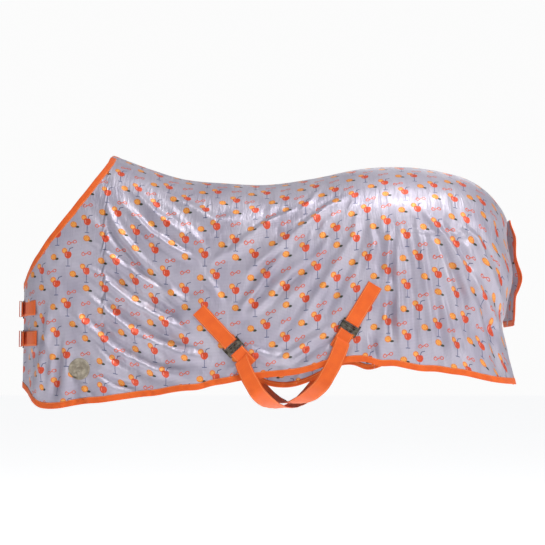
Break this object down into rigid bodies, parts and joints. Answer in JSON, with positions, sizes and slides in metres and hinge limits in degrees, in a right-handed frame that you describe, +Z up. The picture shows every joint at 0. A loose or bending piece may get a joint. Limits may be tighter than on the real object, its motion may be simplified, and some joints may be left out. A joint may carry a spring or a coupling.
{
  "type": "horse fly sheet",
  "caption": "Printed mesh fly sheet draped as on a horse, with bound edges, buckled chest, crossed belly straps on T-hooks and a tail flap.",
  "frame": {"origin": "lowest dip of the horse's back on the sheet's middle line, where the sheet rests", "axes": "+X towards the tail, +Y towards the horse's off (right) side, +Z up"},
  "size_m": [1.743, 0.6317, 0.8796],
  "materials": {
    "fabric": "satin",
    "binding": "matte",
    "webbing": "matte",
    "metal": "satin",
    "dark_metal": "satin",
    "badge": "matte"
  },
  "bodies": {
    "sheet": {"near_side_panel": "fabric", "near_chest_binding": "binding", "near_hem_binding": "binding", "near_rear_binding": "binding", "off_side_panel": "fabric", "off_chest_binding": "binding", "off_hem_binding": "binding", "off_rear_binding": "binding", "neck_binding": "binding", "topline_tape": "binding", "badge": "badge", "front_billet": "webbing", "front_backing_patch": "fabric", "front_strap_far": "webbing", "off_front_anchor_patch": "webbing", "rear_billet": "webbing", "rear_backing_patch": "fabric", "rear_strap_far": "webbing", "off_rear_anchor_patch": "webbing", "upper_chest_billet": "webbing", "upper_buckle_frame": "dark_metal", "upper_chest_strap": "webbing", "lower_chest_billet": "webbing", "lower_buckle_frame": "dark_metal", "lower_chest_strap": "webbing"},
    "front_fastening": {"front_slot_plate": "metal", "front_t_hook": "metal", "front_strap_near": "webbing"},
    "front_slide": {"front_slide": "metal"},
    "rear_fastening": {"rear_slot_plate": "metal", "rear_t_hook": "metal", "rear_strap_near": "webbing"},
    "rear_slide": {"rear_slide": "metal"},
    "flap": {"tail_flap": "fabric", "tail_flap_binding": "binding"},
    "upper_roller": {"upper_roller": "dark_metal"},
    "upper_prong": {"upper_prong": "dark_metal"},
    "upper_keeper": {"upper_keeper": "webbing"},
    "lower_roller": {"lower_roller": "dark_metal"},
    "lower_prong": {"lower_prong": "dark_metal"},
    "lower_keeper": {"lower_keeper": "webbing"}
  },
  "joints": [
    {"name": "front_strap_swing", "type": "hinge", "parent": "sheet", "child": "front_fastening", "pos_m": [-0.124, -0.29125, -0.557], "axis": [-0.7306, 0, -0.6828], "range_deg": [0, 25]},
    {"name": "rear_strap_swing", "type": "hinge", "parent": "sheet", "child": "rear_fastening", "pos_m": [0.276, -0.30326, -0.491], "axis": [-0.8531, 0, 0.5217], "range_deg": [0, 25]},
    {"name": "front_slide_travel", "type": "slide", "parent": "sheet", "child": "front_slide", "axis": [-0.5217, 0, -0.8531], "range_m": [-0.025, 0.025]},
    {"name": "rear_slide_travel", "type": "slide", "parent": "sheet", "child": "rear_slide", "axis": [0.6828, 0, -0.7306], "range_m": [-0.025, 0.025]},
    {"name": "tail_flap_lift", "type": "hinge", "parent": "sheet", "child": "flap", "pos_m": [0.8356, 0, -0.128], "axis": [0, -1, 0], "range_deg": [0, 80]},
    {"name": "upper_prong_turn", "type": "hinge", "parent": "sheet", "child": "upper_prong", "pos_m": [-0.8484, -0.022, -0.437], "axis": [0, 0, 1], "range_deg": [0, 100]},
    {"name": "upper_roller_spin", "type": "hinge", "parent": "sheet", "child": "upper_roller", "pos_m": [-0.8484, 0.01, -0.437], "axis": [0, 0, 1], "continuous": true},
    {"name": "upper_keeper_travel", "type": "slide", "parent": "sheet", "child": "upper_keeper", "axis": [0, 1, 0], "range_m": [-0.012, 0.012]},
    {"name": "lower_prong_turn", "type": "hinge", "parent": "sheet", "child": "lower_prong", "pos_m": [-0.8484, -0.022, -0.539], "axis": [0, 0, 1], "range_deg": [0, 100]},
    {"name": "lower_roller_spin", "type": "hinge", "parent": "sheet", "child": "lower_roller", "pos_m": [-0.8484, 0.01, -0.539], "axis": [0, 0, 1], "continuous": true},
    {"name": "lower_keeper_travel", "type": "slide", "parent": "sheet", "child": "lower_keeper", "axis": [0, 1, 0], "range_m": [-0.012, 0.012]}
  ]
}
